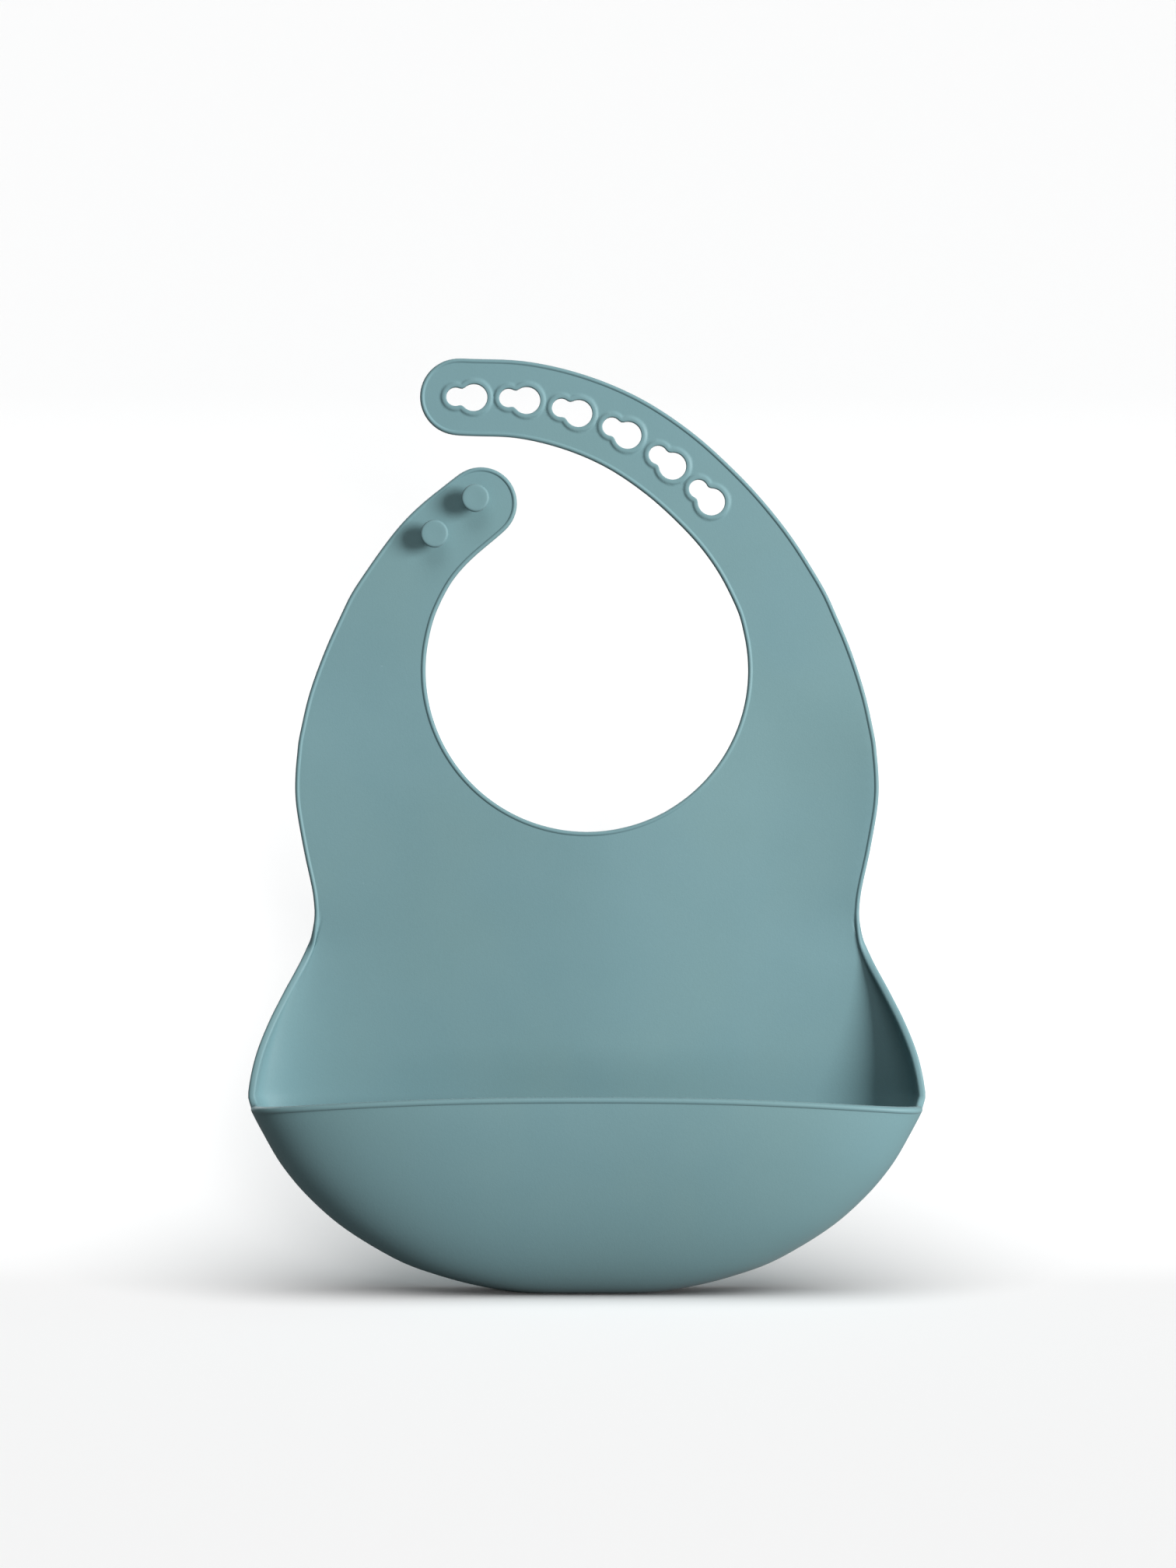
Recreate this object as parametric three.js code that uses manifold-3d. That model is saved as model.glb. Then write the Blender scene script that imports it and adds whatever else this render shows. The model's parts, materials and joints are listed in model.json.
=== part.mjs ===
// A one-piece moulded silicone baby bib, split where the silicone flexes.
// Millimetres, +Z up as the bib is worn. The front, with the crumb pocket, faces -Y, and +X is to the right.
// The origin is on the surface the bib stands on, under the middle of its bounding box.
import * as THREE from "three";
import { mergeVertices } from "three/addons/utils/BufferGeometryUtils.js";
import Module from "manifold-3d";

const wasm = await Module();
wasm.setup();

// ---------------------------------------------------------------- driving dimensions
const SHEET = 2; // thickness of the silicone sheet
const BEAD_R = 1.3; // radius of the bead along every free edge
const GAP = 0.3; // clearance between neighbouring pieces
const CHAMFER = 0.7; // chamfer on the edges of the chest
const STRAP_CHAMFER = 0.3; // and of the straps
const WAIST_CLEAR = 1; // from the waist's fold line to the pieces on either side, for a 90 degree fold
const STRAP_CLEAR = 0.3; // from a strap's fold line to the stretches on either side, for 45 degrees
const RAISED_CLEAR = 1.4; // from a fold line to what stands proud of the sheet: beads and rims

const NECK_R = 53.4; // radius of the neck opening
const NECK_Z = 203; // height of the neck opening's centre, where the straps start
const WAIST_Z = 124; // height of the fold across the narrowest part
const SCOOP_Z = 147; // height of the seam under the neckline
const LIP_Z = 61.5; // height of the top of the pocket's front wall
const FLOOR_Z = 12; // height of the pocket floor's rim

const FOOT_BACK = 5; // the flat foot reaches from this far in front of the back face
const FOOT_FRONT = 16; // to this far
const POCKET_DEPTH = 48; // front of the lip, from the back face
const FRONT_FULLNESS = 1.6; // exponent of the front wall's profile: a larger one bellies out lower down
const LIP_ARCH = 5.2; // how much higher the lip is in the middle than at its corners
const LIP_ARCH_FLATNESS = 2.4; // exponent of the lip's arch
const RIDGE_DEPTH = 20; // how far forward the sides have curled at the lip's corners
const BACK_ROUNDNESS = 5; // superellipse exponent of the back half of a level section
const FRONT_ROUNDNESS = 3.6; // and of its front half

const KEYHOLE_BIG_R = 4.5;
const KEYHOLE_SMALL_R = 3.1;
const KEYHOLE_PITCH = 6; // between the centres of a keyhole's two circles
const KEYHOLE_BIG_AT = 1.7; // from the keyhole's middle to its big circle, away from the strap's tip
const RIM_WIDTH = 1.7; // the raised rim round a keyhole
const RIM_PROUD = 0.6; // how far it stands out of the strap's front
const TIP_EXTRA = 3.4; // straight stretch between the last keyhole's middle and the strap's round end

const STUD_HEAD_R = 4.55;
const STUD_STEM_R = 2.9;
const STUD_STEM_H = 4.4;
const STUD_HEAD_H = 2.6;
const STUD_ROUND = 0.7; // rounding of the head's edges
const STUD_SIDES = 16;

const COLOURS = { panel: 0x769ba0, pocket: 0x6f959b, strap: 0x7ba1a7, stud: 0x83a9ae };

// Right-hand half of the outline, from the foot to the neck's widest level: (x, z)
const OUTLINE = new THREE.SplineCurve(
  [
    [22, 0], [36, 2.6], [49.5, 6.4], [62.3, 11.5], [78.7, 21.7], [90.1, 31.9],
    [98.4, 42], [104.3, 52.2], [109.2, 62.3], [109.5, 67.4], [107.5, 77.5], [103.8, 87.7],
    [99, 97.8], [93.8, 108], [90.1, 118.1], [89.9, 128.3], [93, 143.5], [95.6, 158.8],
    [95.8, 168.9], [94.7, 179], [92.6, 189], [88.8, 203], [86.3, 209.5],
  ].map(([x, z]) => new THREE.Vector2(x, z)),
);

// Middle line of each strap, from the shoulder to the tip: (x, z, half of the width)
const strapLine = (points) =>
  new THREE.CatmullRomCurve3(points.map((p) => new THREE.Vector3(...p)), false, "catmullrom", 0.5);
const HOLE_STRAP = strapLine([
  [71.9, 184, 22], [71.1, 203, 17.7], [66, 220.7, 14.9], [58.1, 236.5, 13.6],
  [49.7, 248.7, 12.9], [39.8, 259.7, 12.7], [26.9, 271.3, 12.7], [12, 281.2, 12.7],
  [-4.3, 288.1, 12.7], [-21.5, 292.1, 12.7], [-38.9, 292.9, 12.7],
]);
const STUD_STRAP = strapLine([
  [-71.9, 184, 22], [-71.1, 203, 17.7], [-65.3, 220.5, 14.4], [-57, 235.9, 12.7],
  [-48.4, 246.6, 12.3], [-34.9, 258, 12],
]);
const STUDS = { stud_inner: [-36.5, 259.3], stud_outer: [-49.9, 247.6] };

// Places along a strap are counted in its points, so 0 is its first point and 1 its second.
const SHOULDER = 1;
const HOLE_STRAP_FOLD = 4;
const STUD_STRAP_FOLD = 3;
const FIRST_KEYHOLE = 5; // the keyhole nearest the shoulder
const KEYHOLES = 6;
const TIP_SIDES = 10; // sides of a strap's round end
const KEYHOLE_SIDES = [11, 7]; // sides of a keyhole's big and small circles
const NECKLINE_SIDES = 12; // sides of a quarter of the neck opening
const LINK_END = 0.54; // a link ends this far beyond its keyhole, clear of the next one's rim

// ---------------------------------------------------------------- helpers
const { cos, sin, sign, abs, sqrt, PI, max } = Math;
const power = (value, exponent) => sign(value) * abs(value) ** exponent;
const mix = THREE.MathUtils.lerp;
const radians = THREE.MathUtils.degToRad;

function solid(geometry) {
  const bare = geometry.index ? geometry.clone() : geometry;
  bare.deleteAttribute("normal");
  bare.deleteAttribute("uv");
  const merged = mergeVertices(bare, 1e-4);
  const corners = [...merged.index.array];
  const kept = [];
  for (let i = 0; i < corners.length; i += 3) {
    const [a, b, c] = corners.slice(i, i + 3);
    if (a !== b && b !== c && c !== a) kept.push(a, b, c);
  }
  const mesh = new wasm.Mesh({
    numProp: 3,
    vertProperties: merged.attributes.position.array,
    triVerts: new Uint32Array(kept),
  });
  return new wasm.Manifold(mesh);
}

function geometryOf(manifold) {
  const mesh = manifold.getMesh();
  const geometry = new THREE.BufferGeometry();
  geometry.setAttribute("position", new THREE.BufferAttribute(mesh.vertProperties, 3));
  geometry.setIndex(new THREE.BufferAttribute(mesh.triVerts, 1));
  geometry.computeVertexNormals();
  return geometry;
}

const unite = (a, b) => a.add(b);
const join = (...geometries) => geometryOf(geometries.map(solid).reduce(unite));

function mesh(name, geometry, colour) {
  const material = new THREE.MeshStandardMaterial({ color: colour, roughness: 0.6, metalness: 0 });
  const made = new THREE.Mesh(geometry, material);
  made.name = name;
  return made;
}

// A flat outline in (x, z) made into a sheet with chamfered edges, from y = back - thickness to y = back.
function plate(shape, back, thickness, chamfer) {
  const geometry = new THREE.ExtrudeGeometry(shape, {
    depth: thickness - 2 * chamfer,
    bevelEnabled: chamfer > 0,
    bevelSize: chamfer,
    bevelThickness: chamfer,
    bevelOffset: -chamfer,
    bevelSegments: 1,
    curveSegments: 10,
  });
  return geometry.rotateX(PI / 2).translate(0, back - chamfer, 0);
}

// A round bead through a list of points.
function bead(points) {
  const section = new THREE.Shape().absarc(0, 0, BEAD_R, 0, 2 * PI);
  return new THREE.ExtrudeGeometry(section, {
    curveSegments: 3,
    steps: points.length - 1,
    extrudePath: new THREE.CatmullRomCurve3(points),
  });
}

// ---------------------------------------------------------------- the pocket's moulded surface
const OUTLINE_STEPS = 400;
const outlinePoints = OUTLINE.getPoints(OUTLINE_STEPS);

function halfWidth(z) {
  const above = max(1, outlinePoints.findIndex((p) => p.y >= z));
  const [a, b] = [outlinePoints[above - 1], outlinePoints[above]];
  return mix(a.x, b.x, (z - a.y) / (b.y - a.y));
}

// How far the sides have curled forward: the depth of the widest line at each level.
function ridgeDepth(z) {
  if (z < LIP_Z) return mix((FOOT_BACK + FOOT_FRONT) / 2, RIDGE_DEPTH, z / LIP_Z);
  const rise = Math.min(1, (z - LIP_Z) / (WAIST_Z - LIP_Z));
  return mix(SHEET / 2, RIDGE_DEPTH, (1 + cos(PI * rise)) / 2);
}

const backDepth = (z) => (z < FLOOR_Z ? FOOT_BACK * (1 - sqrt(1 - (1 - z / FLOOR_Z) ** 2)) : 0);
const frontDepth = (z) =>
  FOOT_FRONT + (POCKET_DEPTH - FOOT_FRONT) * sqrt(1 - max(0, 1 - z / LIP_Z) ** FRONT_FULLNESS);

// Outer face of the moulding. turn goes round a level section: 0 at the right-hand ridge,
// 90 degrees at the middle of the back, 180 at the left-hand ridge and 270 at the middle of the front.
function moulding(turn, z) {
  const [across, through] = [cos(turn), sin(turn)];
  const atBack = through >= 0;
  const exponent = 2 / (atBack ? BACK_ROUNDNESS : FRONT_ROUNDNESS);
  const ridge = ridgeDepth(z);
  const reach = atBack ? ridge - backDepth(z) : frontDepth(z) - ridge;
  const share = power(across, exponent);
  const arch = atBack ? 0 : LIP_ARCH * (z / LIP_Z) ** 2 * (1 - abs(share) ** LIP_ARCH_FLATNESS);
  return new THREE.Vector3(halfWidth(z) * share, -ridge + reach * power(through, exponent), z + arch);
}

function outward(turn, z) {
  const [dTurn, dZ] = [1e-3, 1e-2];
  const around = moulding(turn + dTurn, z).sub(moulding(turn - dTurn, z));
  const up = moulding(turn, z + dZ).sub(moulding(turn, max(0, z - dZ)));
  return around.cross(up).normalize();
}

const onMoulding = (turn, z, inside) => moulding(turn, z).addScaledVector(outward(turn, z), -inside);

// A closed sheet on the moulding between two turns, in degrees, and through a list of levels.
function mouldedSheet(fromTurn, toTurn, turns, levels) {
  const whole = toTurn - fromTurn === 360;
  const faces = [0, SHEET].map((inside) =>
    levels.map((z) =>
      Array.from({ length: turns + 1 }, (_, i) => {
        const turn = radians(mix(fromTurn, toTurn, i / turns));
        return onMoulding(whole && i === turns ? radians(fromTurn) : turn, z, inside);
      }),
    ),
  );
  const triangles = [];
  const quad = (a, b, c, d) => triangles.push(a, b, c, a, c, d);
  const [outer, inner] = faces;
  const top = levels.length - 1;
  for (let i = 0; i < turns; i++) {
    for (let k = 0; k < top; k++) {
      quad(outer[k][i], outer[k][i + 1], outer[k + 1][i + 1], outer[k + 1][i]);
      quad(inner[k][i + 1], inner[k][i], inner[k + 1][i], inner[k + 1][i + 1]);
    }
    quad(outer[top][i], outer[top][i + 1], inner[top][i + 1], inner[top][i]);
    if (!whole) quad(inner[0][i], inner[0][i + 1], outer[0][i + 1], outer[0][i]);
  }
  if (whole) {
    // The lowest level is closed by a flat foot.
    for (const [face, turned] of [[outer[0], false], [inner[0], true]]) {
      const middle = new THREE.Vector3();
      face.slice(1).forEach((p) => middle.addScaledVector(p, 1 / turns));
      for (let i = 0; i < turns; i++) {
        triangles.push(middle, ...(turned ? [face[i], face[i + 1]] : [face[i + 1], face[i]]));
      }
    }
  } else {
    for (let k = 0; k < top; k++) {
      quad(outer[k][0], outer[k + 1][0], inner[k + 1][0], inner[k][0]);
      quad(inner[k][turns], inner[k + 1][turns], outer[k + 1][turns], outer[k][turns]);
    }
  }
  return new THREE.BufferGeometry().setFromPoints(triangles);
}

const levelsBetween = (low, high, count) =>
  Array.from({ length: count + 1 }, (_, k) => mix(low, high, k / count));

const SIDE_FRONT = 48; // a side wall reaches this many degrees past the ridge, at the front
const SIDE_BACK = 52.5; // and this many at the back
const SEAM = 0.25; // half of the gap between two moulded sheets, in degrees of turn
const LIP_SEAM = 1; // from a seam or a corner to the end of the lip's bead, in degrees of turn
const TURNS = { floor: 36, front: 16, back: 6, side: 14, lipEnd: 6, wing: 7 }; // facets round each piece

function pocketPieces() {
  const wallTop = LIP_Z - BEAD_R;
  const pieces = new THREE.Group();
  const floorLevels = [0, 0.6, 1.6, 3, 5, 8, FLOOR_Z - GAP];
  const wallLevels = levelsBetween(FLOOR_Z, wallTop, 6);
  const lipPoints = (from, to, count) =>
    levelsBetween(from, to, count).map((turn) => onMoulding(radians(turn), wallTop, SHEET / 2));
  pieces.add(mesh("pocket_floor", mouldedSheet(0, 360, TURNS.floor, floorLevels), COLOURS.pocket));

  const [left, right] = [180 + SIDE_FRONT, 360 - SIDE_FRONT];
  const front = mouldedSheet(left + SEAM, right - SEAM, TURNS.front, wallLevels);
  const frontLip = bead(lipPoints(left + LIP_SEAM, right - LIP_SEAM, TURNS.front));
  pieces.add(mesh("pocket_front", join(front, frontLip), COLOURS.pocket));

  const backLevels = [
    ...wallLevels.slice(0, -1),
    ...levelsBetween(LIP_Z + GAP, WAIST_Z - WAIST_CLEAR, 8),
  ];
  const back = mouldedSheet(SIDE_BACK + SEAM, 180 - SIDE_BACK - SEAM, TURNS.back, backLevels);
  pieces.add(mesh("pocket_back", back, COLOURS.panel));

  for (const side of ["right", "left"]) {
    const turned = (from, to) => (side === "right" ? [from, to] : [180 - to, 180 - from]);
    const wall = mouldedSheet(...turned(-SIDE_FRONT, SIDE_BACK), TURNS.side, wallLevels);
    const lipEnd = bead(lipPoints(...turned(LIP_SEAM - SIDE_FRONT, -LIP_SEAM), TURNS.lipEnd));
    pieces.add(mesh(side + "_side_wall", join(wall, lipEnd), COLOURS.pocket));

    const wingLevels = levelsBetween(LIP_Z + GAP, WAIST_Z - WAIST_CLEAR, 7);
    const wing = mouldedSheet(...turned(0, SIDE_BACK), TURNS.wing, wingLevels);
    const edge = levelsBetween(LIP_Z + BEAD_R, WAIST_Z - RAISED_CLEAR, 8).map((z) =>
      onMoulding(side === "right" ? 0 : PI, z, SHEET / 2),
    );
    pieces.add(mesh(side + "_wing", join(wing, bead(edge)), COLOURS.panel));
  }
  return pieces;
}

// ---------------------------------------------------------------- the chest and shoulders
const edgeBead = (points) => bead(points.map((p) => new THREE.Vector3(p.x, -SHEET / 2, p.y)));
const mirrored = (points) => points.map((p) => new THREE.Vector2(-p.x, p.y)).reverse();
const outlineBetween = (low, high, count, inset = 0) =>
  levelsBetween(low, high, count).map((z) => new THREE.Vector2(halfWidth(z) - inset, z));

// The neckline from a level below the neck's centre down to its lowest point, on the right.
const neckline = (high, radius) =>
  levelsBetween(Math.asin((NECK_Z - high) / radius), PI / 2, NECKLINE_SIDES).map((angle) => {
    const x = max(GAP / 2, radius * cos(angle));
    return new THREE.Vector2(x, NECK_Z - radius * sin(angle));
  });

function chestPieces() {
  const pieces = new THREE.Group();
  const right = outlineBetween(WAIST_Z + WAIST_CLEAR, SCOOP_Z - GAP, 6);
  const side = outlineBetween(WAIST_Z + RAISED_CLEAR, SCOOP_Z - GAP, 5, BEAD_R);
  const panel = plate(new THREE.Shape([...right, ...mirrored(right)]), 0, SHEET, CHAMFER);
  pieces.add(
    mesh("chest_panel", join(panel, edgeBead(side), edgeBead(mirrored(side))), COLOURS.panel),
  );
  pieces.add(mesh("right_shoulder", shoulderGeometry(HOLE_STRAP, 1), COLOURS.panel));
  pieces.add(mesh("left_shoulder", shoulderGeometry(STUD_STRAP, -1), COLOURS.panel));
  return pieces;
}

const FOLD_EASE = 2; // the shoulder's curves end this far below the fold's two ends

// A shoulder runs from the middle of the neckline up to the fold at the foot of its strap.
function shoulderGeometry(line, hand) {
  const top = shifted(line, SHOULDER, -STRAP_CLEAR);
  const facing = (p) => new THREE.Vector2(hand * p.x, p.y);
  const neckEnd = facing(beside(line, top, hand));
  const outerEnd = facing(beside(line, top, -hand));
  const shape = [
    ...outlineBetween(SCOOP_Z, outerEnd.y - FOLD_EASE, 9),
    outerEnd,
    neckEnd,
    ...neckline(neckEnd.y - FOLD_EASE, NECK_R),
    new THREE.Vector2(GAP / 2, SCOOP_Z),
  ];
  const beads = [
    outlineBetween(SCOOP_Z + GAP, outerEnd.y - RAISED_CLEAR, 9, BEAD_R),
    neckline(neckEnd.y - RAISED_CLEAR, NECK_R + BEAD_R),
  ];
  const turned = (points) => (hand > 0 ? points : mirrored(points));
  const sheet = plate(new THREE.Shape(turned(shape)), 0, SHEET, CHAMFER);
  return join(sheet, ...beads.map((b) => edgeBead(turned(b))));
}

// ---------------------------------------------------------------- the straps
// A place on a strap's middle line: its point, its direction and its half width.
function along(line, place) {
  const last = line.points.length - 1;
  const at = line.getPoint(place / last);
  const step = 1e-4;
  const ahead = line.getPoint(Math.min(1, place / last + step));
  const behind = line.getPoint(max(0, place / last - step));
  const way = new THREE.Vector2(ahead.x - behind.x, ahead.y - behind.y).normalize();
  return { point: new THREE.Vector2(at.x, at.y), way, half: at.z };
}

// A point beside a strap's middle line: side 1 is on its left as it runs to its tip.
function beside(line, place, side, inset = 0) {
  const { point, way, half } = along(line, place);
  return new THREE.Vector2(-way.y, way.x).multiplyScalar(side * (half - inset)).add(point);
}

// Moves a place by a distance in millimetres along the strap.
function shifted(line, place, distance) {
  const step = 0.01;
  const next = along(line, place + step).point.distanceTo(along(line, place).point) / step;
  return place + distance / next;
}

// The edge points of a strap between two places, in order: its left side, its end and its right side.
// At the strap's tip the end is round, and tipExtra is the straight stretch before it.
function strapEdge(line, from, to, tipExtra, inset) {
  const count = Math.ceil(2 * (to - from)) + 1;
  const places = levelsBetween(from, to, count);
  const [left, right] = [1, -1].map((side) => places.map((p) => beside(line, p, side, inset)));
  const end = [];
  if (tipExtra !== null) {
    const { point, way, half } = along(line, to);
    const centre = point.clone().addScaledVector(way, tipExtra);
    const start = Math.atan2(way.x, -way.y);
    for (let i = 0; i <= TIP_SIDES; i++) {
      const angle = start - (i * PI) / TIP_SIDES;
      const reach = half - inset;
      end.push(new THREE.Vector2(centre.x + reach * cos(angle), centre.y + reach * sin(angle)));
    }
  }
  return { left, end, right: right.reverse() };
}

// One stretch of a strap. Its ends, its beads and its keyhole's rim each stay clear of a fold.
function strapGeometry(line, from, to, { foldStart, foldEnd, tipExtra = null, keyhole = null }) {
  const isTip = tipExtra !== null;
  const edgeBetween = (foldClear, inset) => {
    const start = shifted(line, from, foldStart ? foldClear : GAP / 2);
    const finish = isTip ? to : shifted(line, to, foldEnd ? -foldClear : -GAP / 2);
    return strapEdge(line, start, finish, tipExtra, inset);
  };
  const sheet = edgeBetween(STRAP_CLEAR, 0);
  const shape = new THREE.Shape([...sheet.left, ...sheet.end, ...sheet.right]);
  if (keyhole) shape.holes.push(twinCircles(keyhole, 0));

  const edge = edgeBetween(RAISED_CLEAR, BEAD_R);
  const paths = isTip
    ? [[...edge.left, ...edge.end.slice(1, -1), ...edge.right]]
    : [edge.left, edge.right];
  const stretch = [plate(shape, 0, SHEET, STRAP_CHAMFER), ...paths.map(edgeBead)].map(solid).reduce(unite);
  if (!keyhole) return geometryOf(stretch);

  const rim = twinCircles(keyhole, RIM_WIDTH);
  rim.holes.push(twinCircles(keyhole, 0));
  const roomShape = new THREE.Shape([...edge.left, ...edge.end, ...edge.right]);
  const collar = solid(plate(rim, 0, SHEET + RIM_PROUD, STRAP_CHAMFER));
  const room = solid(plate(roomShape, RIM_PROUD, SHEET + 3 * RIM_PROUD, 0));
  return geometryOf(stretch.add(collar.intersect(room)));
}

// The outline of two overlapping circles, grown by a margin.
function twinCircles({ point, way }, margin) {
  const big = KEYHOLE_BIG_R + margin;
  const small = KEYHOLE_SMALL_R + margin;
  const waistAt = (KEYHOLE_PITCH ** 2 + big ** 2 - small ** 2) / (2 * KEYHOLE_PITCH);
  const bigHalf = Math.acos(waistAt / big);
  const smallHalf = Math.acos((KEYHOLE_PITCH - waistAt) / small);
  const heading = Math.atan2(way.y, way.x);
  const bigCentre = point.clone().addScaledVector(way, -KEYHOLE_BIG_AT);
  const smallCentre = bigCentre.clone().addScaledVector(way, KEYHOLE_PITCH);
  const arc = (centre, r, from, to) =>
    new THREE.EllipseCurve(centre.x, centre.y, r, r, from, to, to < from);
  const around = arc(bigCentre, big, heading + bigHalf, heading + 2 * PI - bigHalf);
  const back = arc(smallCentre, small, heading - PI + smallHalf, heading + PI - smallHalf);
  const points = [...around.getPoints(KEYHOLE_SIDES[0]), ...back.getPoints(KEYHOLE_SIDES[1])];
  return new THREE.Shape(points.filter((p, i) => i === 0 || p.distanceTo(points[i - 1]) > 0.01));
}

function holeStrapPieces() {
  const pieces = new THREE.Group();
  const root = strapGeometry(HOLE_STRAP, SHOULDER, HOLE_STRAP_FOLD, { foldStart: true, foldEnd: true });
  pieces.add(mesh("hole_strap_root", root, COLOURS.strap));
  let from = HOLE_STRAP_FOLD;
  for (let k = 0; k < KEYHOLES; k++) {
    const place = FIRST_KEYHOLE + k;
    const isTip = k === KEYHOLES - 1;
    const link = strapGeometry(HOLE_STRAP, from, isTip ? place : place + LINK_END, {
      foldStart: k % 2 === 0, // the strap folds below every other keyhole
      foldEnd: k % 2 === 1,
      tipExtra: isTip ? TIP_EXTRA : null,
      keyhole: along(HOLE_STRAP, place),
    });
    pieces.add(mesh("keyhole_link_" + (k + 1), link, COLOURS.strap));
    from = place + LINK_END;
  }
  return pieces;
}

function studStrapPieces() {
  const pieces = new THREE.Group();
  const last = STUD_STRAP.points.length - 1;
  const root = strapGeometry(STUD_STRAP, SHOULDER, STUD_STRAP_FOLD, { foldStart: true, foldEnd: true });
  const tip = strapGeometry(STUD_STRAP, STUD_STRAP_FOLD, last, { foldStart: true, tipExtra: 0 });
  pieces.add(mesh("stud_strap_root", root, COLOURS.strap));
  pieces.add(mesh("stud_strap_tip", tip, COLOURS.strap));
  for (const [name, [x, z]] of Object.entries(STUDS)) {
    const stud = mesh(name, studGeometry(), COLOURS.stud);
    stud.position.set(x, -SHEET - GAP, z);
    stud.rotation.x = PI / 2;
    pieces.add(stud);
  }
  return pieces;
}

// A mushroom stud, turned about its own Z, with its stem's foot at the origin.
function studGeometry() {
  const height = STUD_STEM_H + STUD_HEAD_H;
  const profile = new THREE.Path();
  profile.moveTo(0, 0).lineTo(STUD_STEM_R, 0).lineTo(STUD_STEM_R, STUD_STEM_H);
  profile.lineTo(STUD_HEAD_R - STUD_ROUND, STUD_STEM_H);
  profile.absarc(STUD_HEAD_R - STUD_ROUND, STUD_STEM_H + STUD_ROUND, STUD_ROUND, -PI / 2, 0);
  profile.absarc(STUD_HEAD_R - STUD_ROUND, height - STUD_ROUND, STUD_ROUND, 0, PI / 2);
  profile.lineTo(0, height);
  return geometryOf(solid(new THREE.LatheGeometry(profile.getPoints(2), STUD_SIDES).rotateX(PI / 2)));
}

const bib = new THREE.Group();
bib.add(pocketPieces(), chestPieces(), holeStrapPieces(), studStrapPieces());
bib.position.y = POCKET_DEPTH / 2; // centres the bounding box, whose beads reach as far past both faces
export default bib;
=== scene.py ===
"""Looks of a one-piece moulded silicone bib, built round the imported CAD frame."""
import json
import math

import bpy
import numpy as np
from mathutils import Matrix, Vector
from mathutils.geometry import delaunay_2d_cdt


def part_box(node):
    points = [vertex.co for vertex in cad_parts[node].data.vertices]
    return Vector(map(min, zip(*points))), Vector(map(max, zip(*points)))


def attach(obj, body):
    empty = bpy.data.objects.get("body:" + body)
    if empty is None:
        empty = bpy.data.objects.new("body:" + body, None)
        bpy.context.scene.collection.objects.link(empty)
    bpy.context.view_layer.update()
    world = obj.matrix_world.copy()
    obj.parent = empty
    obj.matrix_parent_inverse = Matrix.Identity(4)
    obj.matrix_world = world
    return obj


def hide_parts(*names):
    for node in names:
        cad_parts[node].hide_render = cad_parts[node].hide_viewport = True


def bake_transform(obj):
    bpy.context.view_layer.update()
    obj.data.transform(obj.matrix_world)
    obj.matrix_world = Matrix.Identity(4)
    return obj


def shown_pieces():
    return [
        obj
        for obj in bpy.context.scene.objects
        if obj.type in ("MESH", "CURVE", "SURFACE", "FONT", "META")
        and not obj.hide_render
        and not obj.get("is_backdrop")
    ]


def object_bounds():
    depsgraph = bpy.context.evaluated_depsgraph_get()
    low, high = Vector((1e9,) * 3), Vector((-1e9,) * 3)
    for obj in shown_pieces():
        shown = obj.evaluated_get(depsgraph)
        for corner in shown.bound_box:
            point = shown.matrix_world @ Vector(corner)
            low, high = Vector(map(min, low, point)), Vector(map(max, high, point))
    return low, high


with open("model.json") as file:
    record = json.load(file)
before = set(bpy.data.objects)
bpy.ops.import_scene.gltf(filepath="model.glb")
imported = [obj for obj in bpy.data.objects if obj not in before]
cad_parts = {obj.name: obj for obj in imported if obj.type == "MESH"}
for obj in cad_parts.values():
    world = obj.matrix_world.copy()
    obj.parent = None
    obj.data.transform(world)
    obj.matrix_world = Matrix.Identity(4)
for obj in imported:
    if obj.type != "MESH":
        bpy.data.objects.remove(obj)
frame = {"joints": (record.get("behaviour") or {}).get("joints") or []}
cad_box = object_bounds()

# Lengths are in millimetres until a mesh is made. x and z are the row frame's, and y is counted from
# the back face of the flat sheet, with the front towards -y.
MM = 0.001
HINGES = {j["name"]: j for j in frame["joints"]}
WAIST = HINGES["waist_fold"]
BACK_Y = WAIST["pos_m"][1] + MM  # the waist's fold line is in the middle of a 2 mm sheet
SHEET = 2.0
INSET = 1.6  # the edge's bead starts this far inside the outline
LIP_INSET = 2.0
NECK_R = 53.1
NECK_Z = 203.0
NECK_ARC_RISE = 12.0  # the neckline is an arc up to this far above its centre
WAIST_Z = WAIST["pos_m"][2] / MM
LIP_Z = 61.5
FLOOR_Z = 12.0
FOOT_BACK = 5.0
FOOT_FRONT = 16.0
POCKET_DEPTH = 48.0
FRONT_FULLNESS = 1.6
LIP_ARCH = 5.2
LIP_ARCH_FLATNESS = 2.4
RIDGE_DEPTH = 20.0
BACK_ROUNDNESS = 5.0
FRONT_ROUNDNESS = 3.6
BOWL_Z = 14.0  # full rings below, walls and panel above
BOWL_ROWS = 25
LIP_ROW = LIP_Z - LIP_INSET
OUTLINE_STEP = 0.25
SMOOTH_STEPS = 24
SMOOTH_OVER = 1.6
RIM_STEP = 1.2  # between the edge's nodes above the waist
ABOVE_WAIST = 0.9
LATTICE = 2.3
SEAM_Z = 100.0  # the pocket's skin and the chest's skin meet here
UNCURL_Z = 104.0  # the sides uncurl from here up to the waist
CORNER_R = 4.5  # rounding inside the lip's corners, at the foot of the bead
LIP_FADE_FROM, LIP_FADE = 5.0, 10.0  # towards its corners the lip's bead turns into the edge's

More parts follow.
